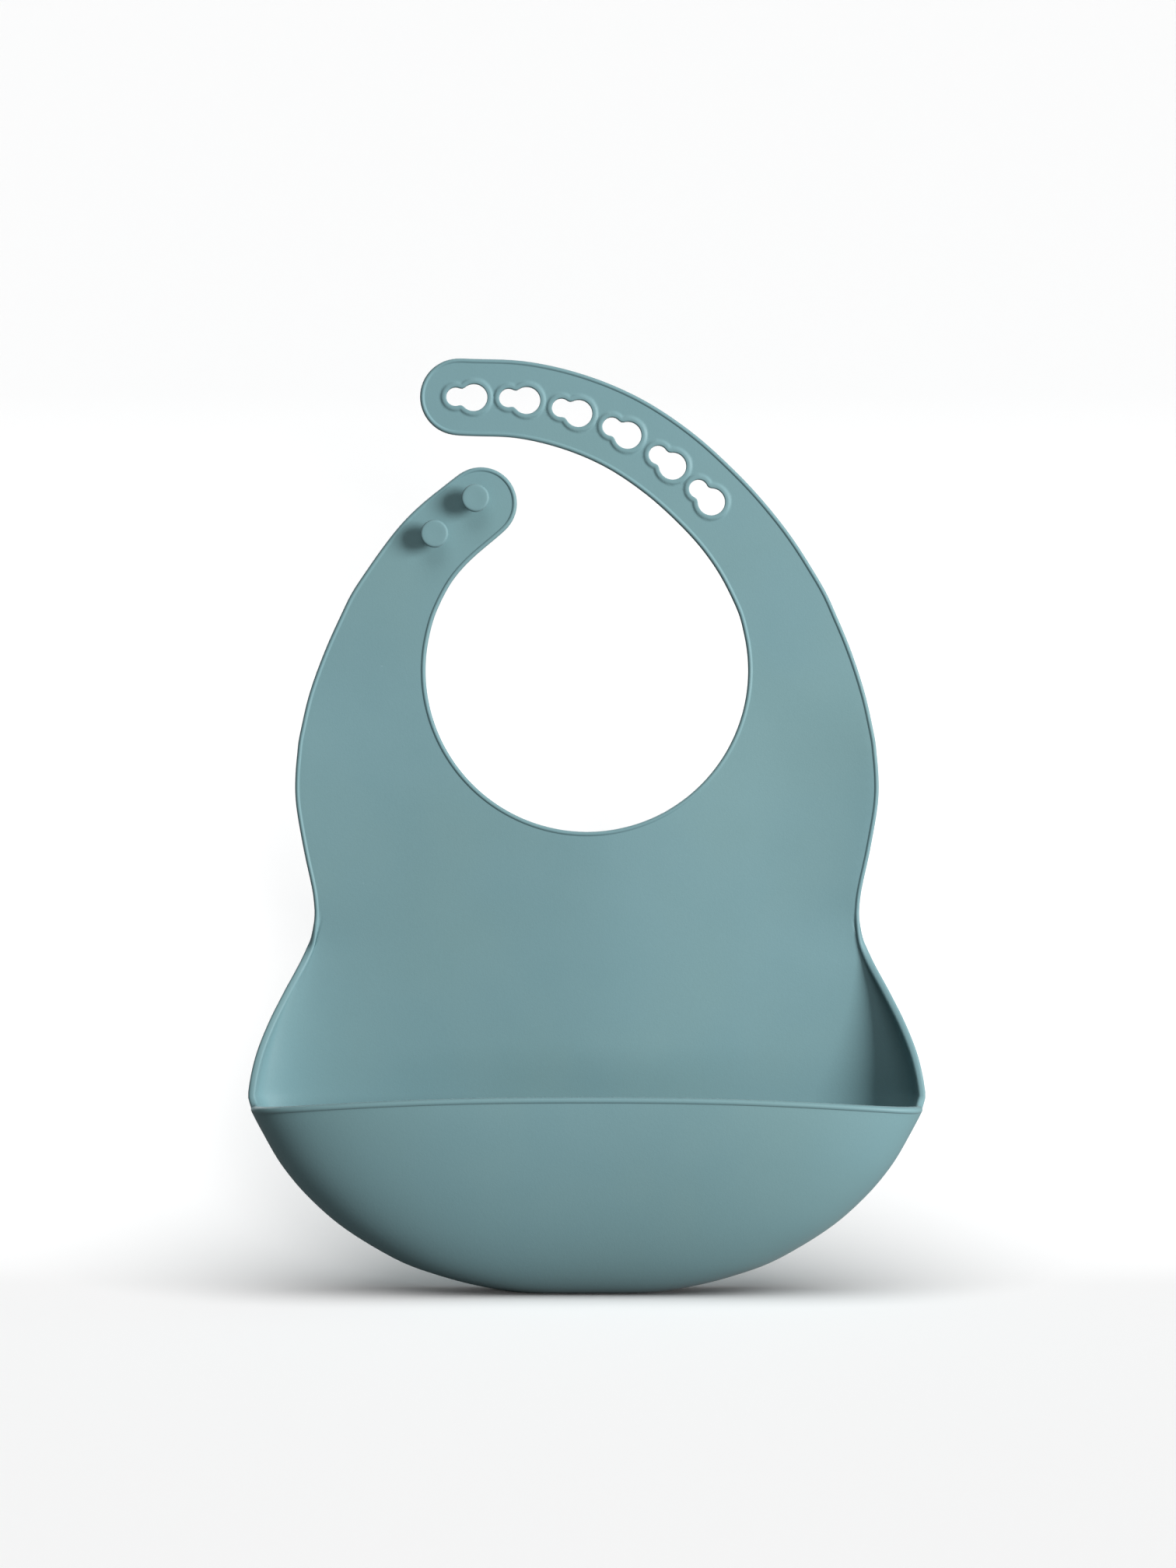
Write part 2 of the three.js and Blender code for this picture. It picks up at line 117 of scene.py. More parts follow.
# A low keel down the sheet's middle, and how far its edges lean forward.
KEEL_X, KEEL_HIGH, KEEL_SOFT, KEEL_WIDE = 6.0, 3.2, 15.0, 60.0
KEEL_RISES = (52, 28)  # (from this level, over this height)
KEEL_FALLS = (150, 55)
EDGE_RIGHT, EDGE_LEFT, EDGE_FROM, EDGE_WIDE = 2.6, 1.3, 55.0, 38.0
EDGE_RISES = (108, 26)
EDGE_FALLS = (176, 34)

KEYHOLE_BIG_R = 4.5
KEYHOLE_SMALL_R = 3.1
KEYHOLE_PITCH = 6.0
KEYHOLE_BIG_AT = 1.7
KEYHOLE_FILLET = 1.6
HOLE_ROUND = 0.35
RIM_PROUD = 0.5
RIM_FLAT, RIM_SLOPE = 1.2, 0.75  # widths of a keyhole rim's top and of its outer slope
TIP_EXTRA = 3.4

OUTLINE = [
    (22, 0), (36, 2.6), (49.5, 6.4), (62.3, 11.5), (78.7, 21.7), (90.1, 31.9),
    (98.4, 42), (104.3, 52.2), (109.2, 62.3), (109.5, 67.4), (107.5, 77.5), (103.8, 87.7),
    (99, 97.8), (93.8, 108), (90.1, 118.1), (89.9, 128.3), (93, 143.5), (95.6, 158.8),
    (95.8, 168.9), (94.7, 179), (92.6, 189), (88.8, 203), (86.3, 209.5),
]
HOLE_STRAP = [
    (71.9, 184, 22), (71.1, 203, 17.7), (66, 220.7, 14.9), (58.1, 236.5, 13.6),
    (49.7, 248.7, 12.9), (39.8, 259.7, 12.7), (26.9, 271.3, 12.7), (12, 281.2, 12.7),
    (-4.3, 288.1, 12.7), (-21.5, 292.1, 12.7), (-38.9, 292.9, 12.7),
]
# The outer edges of the shoulders, between the sides and the straps.
RIGHT_SHOULDER = [(94.8, 180), (91.6, 195), (86.8, 210), (80.5, 225)]
LEFT_SHOULDER = [(94.8, 180), (91.4, 195), (86.0, 210), (79.2, 225)]
STUD_STRAP = [
    (-71.9, 184, 22), (-71.1, 203, 17.7), (-65.3, 220.5, 14.4), (-57, 235.9, 12.7),
    (-48.4, 246.6, 12.3), (-34.9, 258, 12),
]
# Cross sections of the beads, from the front face round the edge to the back face:
# (outwards in the sheet's plane, forwards from its middle)
EDGE_BEAD = np.array([
    (0, 1), (.12, 1), (.2, 1.05), (.3, 1.18), (.45, 1.31), (.65, 1.4), (.88, 1.41), (1.1, 1.34),
    (1.3, 1.21), (1.46, 1.02), (1.56, .78), (1.6, .5), (1.6, .1), (1.59, -.25), (1.5, -.58),
    (1.3, -.85), (1.02, -.98), (.6, -1), (0, -1),
])
LIP_BEAD = np.array([
    (0, 1), (.1, 1), (.16, 1.1), (.3, 1.27), (.55, 1.4), (.88, 1.45), (1.2, 1.41), (1.55, 1.22),
    (1.85, .85), (2, 0), (1.85, -.85), (1.55, -1.22), (1.2, -1.41), (.88, -1.45), (.55, -1.4),
    (.3, -1.27), (.16, -1.1), (.1, -1), (0, -1),
])
HOLE_EDGE = np.array([
    (0, 1.5), (.15, 1.47), (.27, 1.38), (.34, 1.25), (.35, 1.1), (.35, .2), (.35, -.75),
    (.3, -.9), (.18, -.98), (0, -1),
])


def power(value, exponent):
    return np.sign(value) * np.abs(value) ** exponent


def smooth(t):
    t = np.clip(t, 0, 1)
    return t * t * (3 - 2 * t)


def mix(a, b, t):
    return a + (b - a) * t


def catmull(points, place, reflect):
    """Points of a uniform Catmull-Rom curve at places counted in its control points."""
    p = np.array(points, float)
    head, tail = (2 * p[0] - p[1], 2 * p[-1] - p[-2]) if reflect else (p[0], p[-1])
    padded = np.vstack([head, p, tail])
    place = np.atleast_1d(np.asarray(place, float))
    k = np.clip(np.floor(place).astype(int), 0, len(p) - 2)
    t = (place - k)[:, None]
    a, b, c, d = (padded[k + i] for i in range(4))
    return 0.5 * (2 * b + (c - a) * t + (2 * a - 5 * b + 4 * c - d) * t**2
                  + (3 * b - a - 3 * c + d) * t**3)


def run_along(line):
    """Length from a line's start to each of its points."""
    return np.concatenate([[0], np.cumsum(np.linalg.norm(np.diff(line, axis=0), axis=1))])


outline_points = catmull(OUTLINE, np.linspace(0, len(OUTLINE) - 1, 801), False)


def half_width(z):
    return np.interp(z, outline_points[:, 1], outline_points[:, 0])


# ---------------------------------------------------------------- the pocket's moulded surface
def ridge_depth(z):
    low = mix((FOOT_BACK + FOOT_FRONT) / 2, RIDGE_DEPTH, z / LIP_Z)
    rise = np.clip((z - LIP_Z) / (WAIST_Z - LIP_Z), 0, 1)
    high = mix(SHEET / 2, RIDGE_DEPTH, (1 + np.cos(math.pi * rise)) / 2)
    return np.where(z < LIP_Z, low, high)


def back_depth(z):
    return FOOT_BACK * (1 - np.sqrt(1 - np.clip(1 - z / FLOOR_Z, 0, 1) ** 2))


def front_depth(z):
    short = np.clip(1 - z / LIP_Z, 0, 1) ** FRONT_FULLNESS
    return FOOT_FRONT + (POCKET_DEPTH - FOOT_FRONT) * np.sqrt(1 - short)


def moulding(turn, z):
    """Outer face. The turn is 0 at the right-hand ridge and a quarter at the middle of the back."""
    turn, z = np.broadcast_arrays(np.asarray(turn, float), np.asarray(z, float))
    across, through = np.cos(turn), np.sin(turn)
    at_back = through >= 0
    exponent = 2 / np.where(at_back, BACK_ROUNDNESS, FRONT_ROUNDNESS)
    ridge = ridge_depth(z)
    reach = np.where(at_back, ridge - back_depth(z), front_depth(z) - ridge)
    share = power(across, exponent)
    arch = LIP_ARCH * (z / LIP_Z) ** 2 * (1 - np.abs(share) ** LIP_ARCH_FLATNESS)
    arch = np.where(at_back, 0, arch)
    return np.stack([half_width(z) * share, -ridge + reach * power(through, exponent), z + arch], -1)


def unit(v):
    return v / np.linalg.norm(v, axis=-1, keepdims=True)


def steps_on_moulding(turn, z):
    """Unit directions round the section and up the wall."""
    turn, z = np.broadcast_arrays(np.asarray(turn, float), np.asarray(z, float))
    around = moulding(turn + 1e-3, z) - moulding(turn - 1e-3, z)
    up = moulding(turn, z + 1e-2) - moulding(turn, np.maximum(0, z - 1e-2))
    return unit(around), unit(up)


def faces_at(turn, z):
    """(inner face, outer face) of the moulding."""
    around, up = steps_on_moulding(turn, z)
    outer = moulding(turn, z)
    return outer - SHEET * unit(np.cross(around, up)), outer


def quarter_table(z, front):
    """Turns from the ridge to the middle of the back or front, and the run along the section to each."""
    tau = np.linspace(0, 1, 700)
    turn = math.pi / 2 * tau**2.5 / (tau**2.5 + (1 - tau) ** 2.5)
    line = moulding(-turn if front else turn, z)
    return turn, run_along(line)


def turns_of(shares, z, front):
    turn, run = quarter_table(z, front)
    return np.interp(np.asarray(shares) * run[-1], run, turn)


def spaced(total, stretches):
    """Distances from 0 to total: (up to, step) stretches, each divided evenly."""
    marks = [0.0]
    for until, step in stretches:
        until = min(until, total)
        count = max(1, round((until - marks[-1]) / step))
        marks += list(np.linspace(marks[-1], until, count + 1)[1:])
    return np.array(marks)


back_run = quarter_table(LIP_ROW, False)[1][-1]
front_run = quarter_table(LIP_ROW, True)[1][-1]
back_shares = spaced(back_run, [(CORNER_R, 1.1), (42, 1.3), (back_run, 2.6)]) / back_run
front_shares = spaced(front_run, [(CORNER_R, 1.1), (34, 1.4), (front_run, 2.6)]) / front_run


# ---------------------------------------------------------------- the sheet: nodes with two faces
front_side = []  # the face towards the viewer, or towards the inside of the pocket
back_side = []
cells = []  # (nodes, skin), anticlockwise seen from the front side
edge_of = {}  # node: (outward direction, cross section), on a free edge


def add_nodes(front, back):
    first = len(front_side)
    front_side.extend(np.asarray(front, float).reshape(-1, 3))
    back_side.extend(np.asarray(back, float).reshape(-1, 3))
    return np.arange(first, len(front_side))


def grid(rows, skin):
    for low, high in zip(rows, rows[1:]):
        for i in range(len(low) - 1):
            cells.append(((low[i + 1], low[i], high[i], high[i + 1]), skin))


def half_rows(z, front):
    """Turns of one level's nodes: the back from right to left, or the front from left to right."""
    shares = front_shares if front else back_shares
    turns = turns_of(shares, z, front)
    if front:
        return np.concatenate([math.pi + turns, 2 * math.pi - turns[-2::-1]])
    return np.concatenate([turns, math.pi - turns[-2::-1]])


def window(z, rises, falls):
    """0 below, 1 between and 0 above two soft steps of (start, height)."""
    return smooth((z - rises[0]) / rises[1]) * (1 - smooth((z - falls[0]) / falls[1]))


def swell(x, z):
    """How far the sheet eases forward of its moulded shape."""
    x, z = np.asarray(x, float), np.asarray(z, float)
    room = 1 - np.clip(np.abs(x) / half_width(z), 0, 1) ** 4
    from_keel = np.sqrt((x - KEEL_X) ** 2 + KEEL_SOFT**2) - KEEL_SOFT
    keel = KEEL_HIGH * np.exp(-from_keel / KEEL_WIDE) * room
    edge_high = np.where(x > 0, EDGE_RIGHT, EDGE_LEFT)
    edge = edge_high * np.clip((np.abs(x) - EDGE_FROM) / EDGE_WIDE, 0, 2) ** 2
    return keel * window(z, KEEL_RISES, KEEL_FALLS) + edge * window(z, EDGE_RISES, EDGE_FALLS)


def panel_faces(z):
    """(front face, back face) of the panel at one level: its sides uncurl up to the waist."""
    turns = half_rows(z, False)
    inner, outer = faces_at(turns, z)
    k = smooth((z - UNCURL_Z) / (WAIST_Z - UNCURL_Z))
    if k > 0:
        share = np.concatenate([1 - back_shares, -(1 - back_shares)[-2::-1]])
        x = share * (half_width(z) - INSET)
        flat = np.stack([x, np.zeros_like(x), np.full_like(x, z)], -1)
        outer = mix(outer, flat, k)
        inner = mix(inner, flat - (0, SHEET, 0), k)
    forward = swell(outer[:, 0], z)
    inner[:, 1] -= forward
    outer[:, 1] -= forward
    return inner, outer


def directed(node, out):
    """An outward direction made square to the sheet at a node."""
    n = unit(front_side[node] - back_side[node])
    out = np.asarray(out, float)
    return unit(out - n * np.dot(out, n))


# The bowl's levels are evenly spaced along its outline.
bowl_outline = outline_points[outline_points[:, 1] <= BOWL_Z + 1e-9]
bowl_run = run_along(bowl_outline)
bowl_levels = np.interp(np.linspace(0, 1, BOWL_ROWS), bowl_run / bowl_run[-1], bowl_outline[:, 1])
bowl_levels[-1] = BOWL_Z
rings = []
for z in bowl_levels:
    back_turns, front_turns = half_rows(z, False), half_rows(z, True)
    turns = np.concatenate([back_turns, front_turns[1:-1]])
    ids = add_nodes(*faces_at(turns, z))
    rings.append(np.append(ids, ids[0]))
grid(rings, "pocket")

near_lip = [LIP_ROW + h for h in (1.1, 2.2, 3.35, CORNER_R)]
wall_levels = list(np.linspace(BOWL_Z, LIP_ROW, 26))
panel_levels = (wall_levels + near_lip + list(np.linspace(near_lip[-1], SEAM_Z - 2.4, 19))[1:]
                + [SEAM_Z - 1.6, SEAM_Z - .8, SEAM_Z, SEAM_Z + .8, SEAM_Z + 1.6]
                + list(np.linspace(SEAM_Z + 3, WAIST_Z, 14)))
back_count = 2 * len(back_shares) - 1
panel_rows = [rings[-1][:back_count]]
for z in panel_levels[1:]:
    panel_rows.append(add_nodes(*panel_faces(z)))
seam_row = panel_levels.index(SEAM_Z)
grid(panel_rows[: seam_row + 1], "pocket")
grid(panel_rows[seam_row:], "chest")

front_rows = [rings[-1][back_count - 1:]]
for z, panel_row in zip(wall_levels[1:], panel_rows[1:]):
    turns = half_rows(z, True)[1:-1]
    ids = add_nodes(*faces_at(turns, z))
    front_rows.append(np.concatenate([[panel_row[-1]], ids, [panel_row[0]]]))
grid(front_rows, "pocket")


def inside(points, loop):
    """Which 2-D points lie inside a closed loop."""
    x, y = points[:, 0][:, None], points[:, 1][:, None]
    a, b = loop, np.roll(loop, -1, 0)
    crosses = (a[:, 1] > y) != (b[:, 1] > y)
    with np.errstate(divide="ignore", invalid="ignore"):
        at = a[:, 0] + (y - a[:, 1]) * (b[:, 0] - a[:, 0]) / (b[:, 1] - a[:, 1])
    return (crosses & (x < at)).sum(1) % 2 == 1


def triangulate(points, loops, lines=()):
    """Anticlockwise triangles inside the first loop and outside the others, keeping the lines' edges."""
    edges = []
    for loop in loops:
        edges += list(zip(loop, np.roll(loop, -1)))
    for line in lines:
        edges += list(zip(line, line[1:]))
    edges = [(int(a), int(b)) for a, b in edges]
    result = delaunay_2d_cdt([Vector(p) for p in points], edges, [], 0, 1e-6, True)
    origin = [ids[0] if ids else -1 for ids in result[3]]
    tris = np.array([[origin[v] for v in f] for f in result[2]])
    tris = tris[(tris >= 0).all(1)]
    centres = points[tris].mean(1)
    keep = inside(centres, points[loops[0]])
    for hole in loops[1:]:
        keep &= ~inside(centres, points[hole])
    tris = tris[keep]
    a, b, c = points[tris[:, 0]], points[tris[:, 1]], points[tris[:, 2]]
    area = (b[:, 0] - a[:, 0]) * (c[:, 1] - a[:, 1]) - (b[:, 1] - a[:, 1]) * (c[:, 0] - a[:, 0])
    tris[area < 0] = tris[area < 0][:, ::-1]
    return tris[np.abs(area) > 1e-7]


def hexagonal(low, high, step):
    """Points of a triangular lattice over a box."""
    rows = np.arange(low[1], high[1], step * math.sqrt(3) / 2)
    columns = np.arange(low[0], high[0], step)
    return np.array([(x + (i % 2) * step / 2, y) for i, y in enumerate(rows) for x in columns])


def away(points, others):
    """Distance from each point to the nearest of the others."""
    return np.concatenate([
        np.sqrt(((part[:, None] - others[None]) ** 2).sum(-1)).min(1)
        for part in np.array_split(points, max(1, len(points) // 500))])


# The flat foot closes the lowest ring. Its inner face is the pocket's floor.
foot_ring = rings[0][:-1]
foot_outer = np.array(back_side)[foot_ring]
lattice = hexagonal(foot_outer.min(0)[:2], foot_outer.max(0)[:2], 2.4)
lattice = lattice[inside(lattice, foot_outer[:, :2]) & (away(lattice, foot_outer[:, :2]) > 1.2)]
floor_z = np.array(front_side)[foot_ring][:, 2].mean()
extra = add_nodes(np.column_stack([lattice, np.full(len(lattice), floor_z)]),
                  np.column_stack([lattice, np.zeros(len(lattice))]))
foot_points = np.vstack([foot_outer[:, :2], lattice])
foot_ids = np.concatenate([foot_ring, extra])
for tri in triangulate(foot_points, [np.arange(len(foot_ring))]):
    cells.append((tuple(foot_ids[tri]), "pocket"))

# ---------------------------------------------------------------- the free edges below the waist
corner_row = panel_levels.index(LIP_ROW)
for hand in (1, -1):
    for k in range(corner_row, len(panel_levels)):
        row = panel_rows[k]
        node, inner_node = (row[0], row[1]) if hand > 0 else (row[-1], row[-2])
        out = (front_side[node] + back_side[node] - front_side[inner_node] - back_side[inner_node]) / 2
        edge_of[node] = (directed(node, out), EDGE_BEAD)
lip_row = front_rows[-1]
lip_turns = half_rows(LIP_ROW, True)
for i, node in enumerate(lip_row[1:-1], 1):
    from_corner = min(np.linalg.norm(front_side[node] - front_side[end]) for end in lip_row[[0, -1]])
    section = mix(EDGE_BEAD, LIP_BEAD, smooth((from_corner - LIP_FADE_FROM) / LIP_FADE))
    edge_of[node] = (directed(node, steps_on_moulding(lip_turns[i], LIP_ROW)[1]), section)

# A small web rounds each corner between the lip and the wing.
steep = [k for k in range(corner_row, len(panel_levels)) if panel_levels[k] <= LIP_ROW + CORNER_R + 1e-6]
flat_count = int(np.sum(front_shares * front_run <= CORNER_R + 1e-6))
for hand in (1, -1):
    up_ids = [panel_rows[k][0 if hand > 0 else -1] for k in steep]
    out_ids = [lip_row[-1 - i] if hand > 0 else lip_row[i] for i in range(flat_count)]
    up_at = [(0.0, panel_levels[k] - LIP_ROW) for k in steep]
    out_at = [(-front_shares[i] * front_run, 0.0) for i in range(flat_count)]
    angles = np.linspace(0, math.pi / 2, 8)[1:-1]
    arc_at = [(-CORNER_R + CORNER_R * math.cos(a), CORNER_R - CORNER_R * math.sin(a)) for a in angles]
    arc_ids = []
    for (u, h), a in zip(arc_at, angles):
        z = LIP_ROW + h
        turn, run = quarter_table(z, True)
        turn = -float(np.interp(-u, run, turn))
        if hand < 0:
            turn = math.pi - turn
        inner, outer = faces_at(turn, z)
        node = int(add_nodes(inner, outer)[0])
        around, up = steps_on_moulding(turn, z)
        edge_of[node] = (directed(node, -hand * around * math.cos(a) + up * math.sin(a)), EDGE_BEAD)
        arc_ids.append(node)
    ids = np.array(out_ids[::-1] + up_ids[1:] + arc_ids)
    at = np.array(out_at[::-1] + up_at[1:] + arc_at)
    for tri in triangulate(at, [np.arange(len(ids))]):
        tri = tri if hand > 0 else tri[::-1]
        cells.append((tuple(ids[tri]), "pocket"))
    for node in out_ids[:-1] + up_ids[:-1]:
        edge_of.pop(int(node), None)
    turn = lip_turns[-flat_count if hand > 0 else flat_count - 1]
    edge_of[out_ids[-1]] = (directed(out_ids[-1], steps_on_moulding(turn, LIP_ROW)[1]), EDGE_BEAD)


# ---------------------------------------------------------------- the flat sheet above the waist
def along(strap, place):
    """Point, direction and half width of a strap at a place on its middle line."""
    at = catmull(strap, place, True)
    ahead = catmull(strap, np.atleast_1d(place) + 1e-3, True)
    behind = catmull(strap, np.atleast_1d(place) - 1e-3, True)
    return at[:, :2], unit((ahead - behind)[:, :2]), at[:, 2:]


def left_of(way):
    return np.stack([-way[..., 1], way[..., 0]], -1)


def beside(strap, place, side):
    point, way, half = along(strap, place)
    return point + side * left_of(way) * half


def round_tip(strap, extra):
    point, way, half = along(strap, len(strap) - 1)
    heading = math.atan2(way[0, 1], way[0, 0])
    angles = heading + np.linspace(-math.pi / 2, math.pi / 2, 60)
    centre = point[0] + way[0] * extra
    return centre + half[0] * np.column_stack([np.cos(angles), np.sin(angles)])


def bridged(lines):
    """The lines run together, with a smooth stretch from each one's end to the next one's start."""
    joined = [lines[0]]
    share = np.linspace(0, 1, 40)[1:-1, None]
    for a, b in zip(lines, lines[1:]):
        gap = np.linalg.norm(b[0] - a[-1])
        leave, arrive = unit(a[-1] - a[-2]) * gap, unit(b[1] - b[0]) * gap
        joined.append((2 * share**3 - 3 * share**2 + 1) * a[-1] + (share**3 - 2 * share**2 + share) * leave
                      + (3 * share**2 - 2 * share**3) * b[0] + (share**3 - share**2) * arrive)
        joined.append(b)
    return np.vstack(joined)


rise = np.arange(110, 176, 0.5)
right_side = np.column_stack([half_width(rise), rise])
shoulder_places = np.linspace(0, len(RIGHT_SHOULDER) - 1, 91)
neck_rise = math.asin(NECK_ARC_RISE / NECK_R)
neck_angles = np.linspace(neck_rise, -math.pi - neck_rise, 340)
hole_last, stud_last = len(HOLE_STRAP) - 1, len(STUD_STRAP) - 1
hole_outer = beside(HOLE_STRAP, np.linspace(2.6, hole_last, 300), -1)
hole_inner = beside(HOLE_STRAP, np.linspace(hole_last, 2.5, 300), 1)
stud_inner = beside(STUD_STRAP, np.linspace(2.5, stud_last, 150), -1)
stud_outer = beside(STUD_STRAP, np.linspace(stud_last, 2.6, 150), 1)
silhouette = bridged([
    right_side,
    catmull(RIGHT_SHOULDER, shoulder_places, True),
    np.vstack([hole_outer, round_tip(HOLE_STRAP, TIP_EXTRA), hole_inner]),
    np.column_stack([NECK_R * np.cos(neck_angles), NECK_Z + NECK_R * np.sin(neck_angles)]),
    np.vstack([stud_inner, round_tip(STUD_STRAP, 0)[1:-1], stud_outer]),
    (catmull(LEFT_SHOULDER, shoulder_places, True) * (-1, 1))[::-1],
    (right_side * (-1, 1))[::-1],
])


def evenly(line, step):
    run = run_along(line)
    marks = np.linspace(0, run[-1], int(run[-1] / step) + 1)
    return np.column_stack([np.interp(marks, run, line[:, i]) for i in (0, 1)])


# The outline is smoothed over a short reach, then set in by the bead's width.
silhouette = evenly(silhouette, OUTLINE_STEP)
reach = np.arange(-SMOOTH_STEPS, SMOOTH_STEPS + 1)
weights = np.exp(-0.5 * (reach * OUTLINE_STEP / SMOOTH_OVER) ** 2)
weights /= weights.sum()
padded = np.pad(silhouette, ((SMOOTH_STEPS, SMOOTH_STEPS), (0, 0)), "edge")
silhouette = np.column_stack([np.convolve(padded[:, i], weights, "valid") for i in (0, 1)])
way = unit(np.gradient(silhouette, axis=0))
inner_line = silhouette + left_of(way) * INSET
start = int(np.argmax(inner_line[:, 1] > WAIST_Z + ABOVE_WAIST))
end = len(inner_line) - int(np.argmax(inner_line[::-1, 1] > WAIST_Z + ABOVE_WAIST))
pick_count = int((end - start) * OUTLINE_STEP / RIM_STEP) + 1
picks = np.linspace(start, end - 1, pick_count).round().astype(int)
rim_xz = inner_line[picks]
rim_out = -left_of(way)[picks]
waist_row = panel_rows[-1]


def flat_faces(xz, proud=0.0):
    xz = np.asarray(xz, float).reshape(-1, 2)
    zero = np.zeros(len(xz))
    back = np.column_stack([xz[:, 0], -swell(xz[:, 0], xz[:, 1]), xz[:, 1]])
    return back - np.column_stack([zero, zero + SHEET + proud, zero]), back


rim_ids = add_nodes(*flat_faces(rim_xz))
for node, out in zip(rim_ids, rim_out):
    edge_of[int(node)] = (np.array([out[0], 0, out[1]]), EDGE_BEAD)


def keyhole_outline(place, margin, step):
    """The outline of a keyhole grown by a margin, its waist rounded."""
    point, way, _ = along(HOLE_STRAP, place)
    big, small = KEYHOLE_BIG_R + margin, KEYHOLE_SMALL_R + margin
    fillet = max(KEYHOLE_FILLET - margin, 1e-3)
    reach_big, reach_small = big + fillet, small + fillet
    at = (KEYHOLE_PITCH**2 + reach_big**2 - reach_small**2) / (2 * KEYHOLE_PITCH)
    height = math.sqrt(reach_big**2 - at**2)
    turn_big, turn_small = math.atan2(height, at), math.atan2(height, KEYHOLE_PITCH - at)
    arcs = [
        ((0, 0), big, turn_big, 2 * math.pi - turn_big),
        ((at, -height), fillet, math.pi - turn_big, turn_small),
        ((KEYHOLE_PITCH, 0), small, turn_small - math.pi, math.pi - turn_small),
        ((at, height), fillet, -turn_small, turn_big - math.pi),
    ]
    points = []
    for centre, r, a, b in arcs:
        angles = np.linspace(a, b, max(3, int(abs(b - a) * r / step) + 1))[:-1]
        points.append(np.column_stack([centre[0] + r * np.cos(angles), centre[1] + r * np.sin(angles)]))
    local = np.vstack(points) - (KEYHOLE_BIG_AT, 0)
    spread = np.linalg.norm(local - np.roll(local, 1, 0), axis=1) > 0.05
    local = local[spread]
    return point[0] + local[:, :1] * way[0] + local[:, 1:] * left_of(way[0])


keyholes = range(5, 11)  # their places along the strap
true_edges = np.vstack([keyhole_outline(k, 0, 0.1) for k in keyholes])


def rim_height(xz):
    return RIM_PROUD * (1 - smooth((away(xz, true_edges) - RIM_FLAT) / RIM_SLOPE))


# Cuts across the straps, between the skins.
def nearest_rim(point):
    return int(np.argmin(np.linalg.norm(rim_xz - point, axis=1)))


CUTS = (  # strap, place along it, step between the cut's nodes
    (HOLE_STRAP, .1, 2), (HOLE_STRAP, 2.5, 2), (HOLE_STRAP, 5.54, .5), (HOLE_STRAP, 7.54, .5),
    (STUD_STRAP, .1, 2), (STUD_STRAP, 2, 2),
)
cuts = []
cut_points = []
for strap, place, step in CUTS:
    ends = [nearest_rim(beside(strap, place, side)[0]) for side in (1, -1)]
    a, b = rim_xz[ends[0]], rim_xz[ends[1]]
    count = int(np.linalg.norm(b - a) / step)
    between = a + (b - a) * np.linspace(0, 1, count + 1)[1:-1, None]
    cuts.append((ends, len(between)))
    cut_points.append(between)

hole_loops = [keyhole_outline(k, HOLE_ROUND, 0.6) for k in keyholes]
rings_at = (.75, 1.15, 1.3, 1.45, 1.6, 1.75, 1.95, 2.1, 2.5, 3.2)
ring_points = []
for margin in rings_at:
    for k in keyholes:
        ring = keyhole_outline(k, margin, 0.7)
        others = away(ring, true_edges)
        ring_points.append(ring[others > margin - 0.04])
ring_points = np.vstack(ring_points)
ring_points = ring_points[(away(ring_points, np.vstack(cut_points)) > 0.3)
                          & (away(ring_points, rim_xz) > 0.5)]
# Rings of neighbouring keyholes run together, so points too close to an earlier one are dropped.
TOO_CLOSE, BUCKET = 0.25, 0.32
kept = []
seen = {}
for p in ring_points:
    cell = (int(p[0] // BUCKET), int(p[1] // BUCKET))
    close = any(np.hypot(*(p - q)) < TOO_CLOSE for i in (-1, 0, 1) for j in (-1, 0, 1)
                for q in seen.get((cell[0] + i, cell[1] + j), ()))
    if not close:
        seen.setdefault(cell, []).append(p)
        kept.append(p)
ring_points = np.array(kept)

waist_xz = np.array([(front_side[n][0], front_side[n][2]) for n in waist_row])
# From left to right along the waist, then up the right side and round.
flat_loop = np.vstack([waist_xz[::-1], rim_xz])
lattice = hexagonal((-115, WAIST_Z), (115, 312), LATTICE)
lattice = lattice[inside(lattice, flat_loop)]
clearances = (
    (flat_loop, 1.3), (np.vstack(cut_points), 1.1), (ring_points, 1.0), (np.vstack(hole_loops), 1.0),
)
for solid_points, clear in clearances:
    lattice = lattice[away(lattice, solid_points) > clear]
for k in keyholes:
    lattice = lattice[~inside(lattice, keyhole_outline(k, 0, .5))]

flat_ids = [waist_row[::-1], rim_ids]
flat_xz = [flat_loop]
cut_lines = []
total = len(flat_loop)
for (ends, count), between in zip(cuts, cut_points):
    ids = add_nodes(*flat_faces(between, rim_height(between)))
    flat_ids.append(ids)
    flat_xz.append(between)
    local = [len(waist_row) + ends[0], *range(total, total + count), len(waist_row) + ends[1]]
    total += count
    cut_lines.append(local)
loops = [np.arange(len(flat_loop))]
for k, loop in zip(keyholes, hole_loops):
    ids = add_nodes(*flat_faces(loop, RIM_PROUD))
    toward = np.roll(loop, -1, 0) - np.roll(loop, 1, 0)
    out = left_of(unit(toward))  # the loop runs anticlockwise, so its left is the hole
    for node, o in zip(ids, out):
        edge_of[int(node)] = (np.array([o[0], 0, o[1]]), HOLE_EDGE)
    flat_ids.append(ids)
    flat_xz.append(loop)
    loops.append(np.arange(total, total + len(loop)))
    total += len(loop)
for points in (ring_points, lattice):
    flat_ids.append(add_nodes(*flat_faces(points, rim_height(points))))
    flat_xz.append(points)
flat_ids = np.concatenate(flat_ids)
flat_xz = np.vstack(flat_xz)
tris = triangulate(flat_xz, loops, cut_lines)

